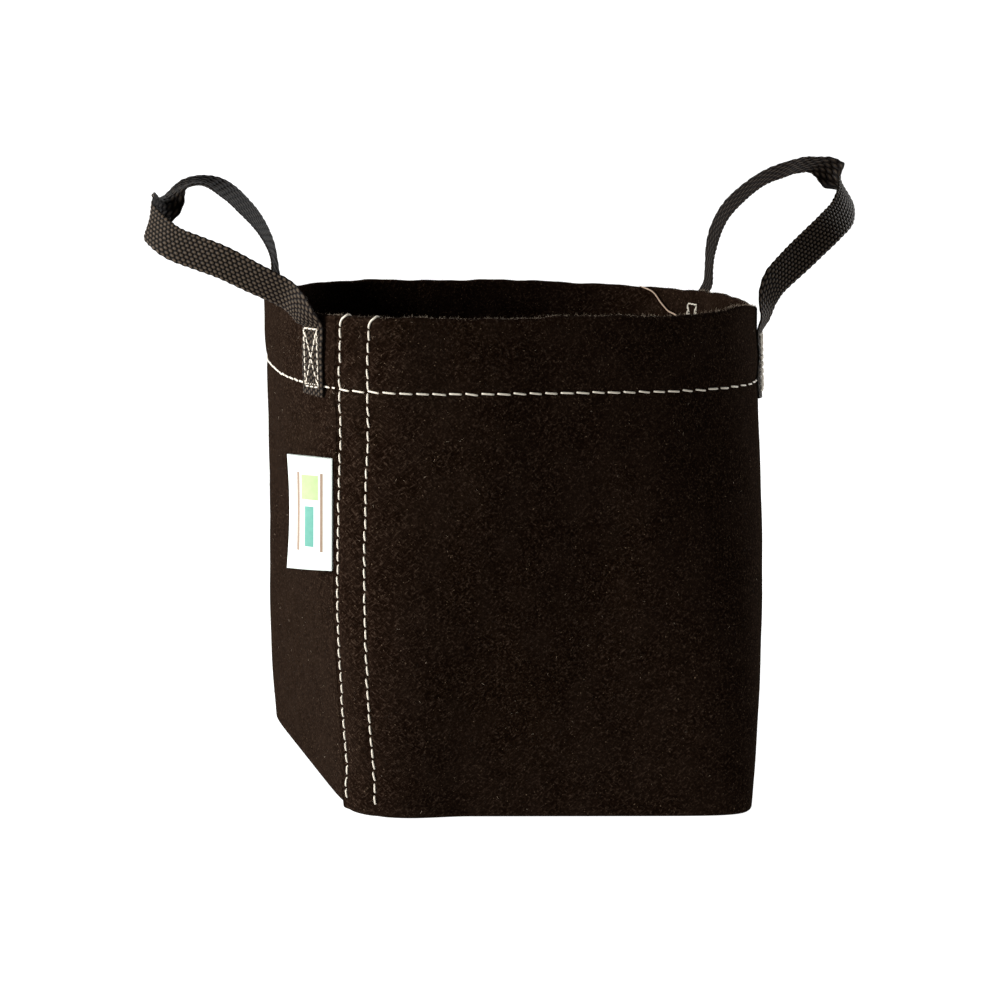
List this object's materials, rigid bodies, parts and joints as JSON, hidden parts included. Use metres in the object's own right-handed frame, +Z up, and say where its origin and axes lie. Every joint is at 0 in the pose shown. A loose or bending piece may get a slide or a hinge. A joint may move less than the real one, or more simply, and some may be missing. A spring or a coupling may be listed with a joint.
{
  "type": "fabric grow bag",
  "caption": "Soft felt planting bag with a square base, folded stitched hem, lapped side seam, side label and webbing handles that swing at the rim.",
  "frame": {"origin": "centre of the base's underside, on the floor", "axes": "+Z up the bag to the rim, -Y out of the front face, +X to the right handle"},
  "size_m": [0.2725, 0.1818, 0.2341],
  "materials": {
    "felt": "needle-punched felt, very dark brown with pale flecks, matte and slightly fuzzy",
    "webbing": "narrow woven webbing, black with a soft sheen on each rib",
    "thread": "thick twisted sewing thread, cream, satin",
    "label_tape": "folded satin label tape, white, with a plain printed pattern"
  },
  "bodies": {
    "bag": {"wall_panel": "felt", "base_panel": "felt", "size_label": "label_tape", "left_handle_front_end": "webbing", "left_handle_rear_end": "webbing", "right_handle_front_end": "webbing", "right_handle_rear_end": "webbing", "hem_needle_thread": "thread", "hem_bobbin_thread": "thread", "seam_left_needle_thread": "thread", "seam_left_bobbin_thread": "thread", "seam_right_needle_thread": "thread", "seam_right_bobbin_thread": "thread", "base_seam_thread": "thread", "left_front_box_stitch": "thread", "left_rear_box_stitch": "thread", "right_front_box_stitch": "thread", "right_rear_box_stitch": "thread", "loose_thread_tail": "thread"},
    "left_handle": {"left_handle_loop": "webbing"},
    "right_handle": {"right_handle_loop": "webbing"}
  },
  "joints": [
    {"name": "left_handle_swing", "type": "hinge", "parent": "bag", "child": "left_handle", "pos_m": [-0.08119, 0.00153, 0.182], "axis": [-0.0153, -0.9999, 0], "range_deg": [-65, 72]},
    {"name": "right_handle_swing", "type": "hinge", "parent": "bag", "child": "right_handle", "pos_m": [0.08653, -0.00831, 0.182], "axis": [0.0535, 0.9986, 0], "range_deg": [-70, 90]}
  ]
}
